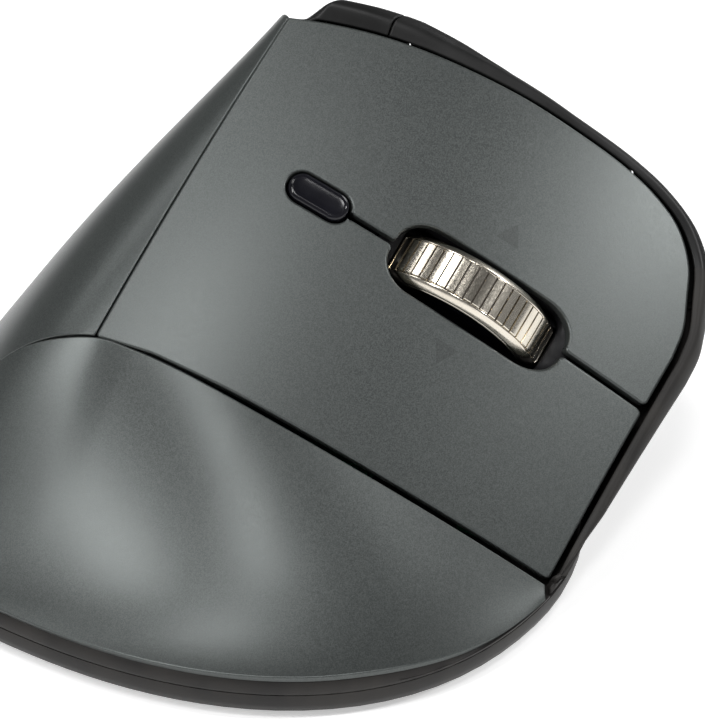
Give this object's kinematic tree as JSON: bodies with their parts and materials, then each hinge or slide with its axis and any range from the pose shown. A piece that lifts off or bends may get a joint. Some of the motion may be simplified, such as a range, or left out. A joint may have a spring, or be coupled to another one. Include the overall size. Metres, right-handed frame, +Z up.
{
  "type": "computer mouse",
  "caption": "Right-handed leaned ergonomic computer mouse with a tilting scroll wheel, sculpted palm shell, thumb scoop, finger keys and a button behind the wheel.",
  "frame": {"origin": "centre of the footprint's bounding box, on the desk plane", "axes": "+Y to the nose, +X to the little-finger side, +Z up from the desk"},
  "size_m": [0.0908, 0.0994, 0.0639],
  "materials": {
    "grey_shell": "satin metallic paint",
    "black_plastic": "fine texture",
    "gloss_black": "gloss",
    "wheel_metal": "satin",
    "slide_feet": "smooth low-friction",
    "circuit_board": "satin",
    "component_body": "satin",
    "steel": "satin",
    "cell_wrap": "satin",
    "clear_lens": "clear"
  },
  "bodies": {
    "chassis": {"battery_cell": "cell_wrap", "belt": "black_plastic", "bottom_case": "black_plastic", "charge_port": "steel", "foot_front_left": "slide_feet", "foot_front_right": "slide_feet", "foot_rear_left": "slide_feet", "foot_rear_right": "slide_feet", "key_board": "circuit_board", "key_bridge": "grey_shell", "left_switch": "component_body", "main_board": "circuit_board", "middle_switch": "component_body", "mode_board": "circuit_board", "mode_switch": "component_body", "nose_bezel": "black_plastic", "optical_sensor": "component_body", "pairing_switch": "steel", "palm_shell": "grey_shell", "pinky_shell": "grey_shell", "port_board": "circuit_board", "power_switch": "steel", "right_switch": "component_body", "screw_left": "steel", "screw_rear": "steel", "screw_right": "steel", "sensor_lens": "clear_lens", "thumb_board": "circuit_board", "thumb_cheek": "black_plastic", "thumb_panel": "black_plastic", "thumb_rim": "gloss_black", "thumb_switch_front": "component_body", "thumb_switch_rear": "component_body", "wheel_well": "gloss_black"},
    "left_key": {"left_key": "grey_shell"},
    "right_key": {"right_key": "grey_shell"},
    "mode_button": {"mode_button": "gloss_black"},
    "wheel_lift": {"wheel_lift": "black_plastic"},
    "wheel_yoke": {"wheel_yoke": "black_plastic"},
    "wheel": {"wheel_tread": "wheel_metal", "wheel_hub": "black_plastic"},
    "thumb_button_rear": {"thumb_button_rear": "black_plastic"},
    "thumb_button_front": {"thumb_button_front": "black_plastic"},
    "power_slider": {"power_slider": "black_plastic"},
    "pairing_button": {"pairing_button": "black_plastic"}
  },
  "joints": [
    {"name": "left_key_press", "type": "hinge", "parent": "chassis", "child": "left_key", "pos_m": [-0.00788, 0.00064, 0.04844], "axis": [-0.8572, 0, 0.515], "range_deg": [0, 0.6], "stiffness_Nm_per_rad": 2},
    {"name": "right_key_press", "type": "hinge", "parent": "chassis", "child": "right_key", "pos_m": [-0.00788, 0.00064, 0.04844], "axis": [-0.8572, 0, 0.515], "range_deg": [0, 0.6], "stiffness_Nm_per_rad": 2},
    {"name": "mode_button_press", "type": "slide", "parent": "chassis", "child": "mode_button", "axis": [-0.4536, -0.4736, -0.7549], "range_m": [0, 0.0004], "stiffness_N_per_m": 1500},
    {"name": "wheel_press", "type": "slide", "parent": "chassis", "child": "wheel_lift", "axis": [-0.4123, -0.5994, -0.6861], "range_m": [0, 0.0004], "stiffness_N_per_m": 2500},
    {"name": "wheel_tilt", "type": "hinge", "parent": "wheel_lift", "child": "wheel_yoke", "pos_m": [-0.02147, 0.01855, 0.02583], "axis": [-0.3087, 0.8004, -0.5138], "range_deg": [-3, 3], "stiffness_Nm_per_rad": 0.3},
    {"name": "wheel_spin", "type": "hinge", "parent": "wheel_yoke", "child": "wheel", "pos_m": [-0.01978, 0.02101, 0.02865], "axis": [0.8572, 0, -0.515], "continuous": true},
    {"name": "thumb_button_rear_press", "type": "slide", "parent": "chassis", "child": "thumb_button_rear", "axis": [0.9029, 0.4299, 0], "range_m": [0, 0.00025], "stiffness_N_per_m": 2500},
    {"name": "thumb_button_front_press", "type": "slide", "parent": "chassis", "child": "thumb_button_front", "axis": [0.9029, 0.4299, 0], "range_m": [0, 0.00025], "stiffness_N_per_m": 2500},
    {"name": "power_slide", "type": "slide", "parent": "chassis", "child": "power_slider", "axis": [0, 1, 0], "range_m": [0, 0.0038]},
    {"name": "pairing_press", "type": "slide", "parent": "chassis", "child": "pairing_button", "axis": [0, 0, 1], "range_m": [0, 0.0004], "stiffness_N_per_m": 2000}
  ]
}
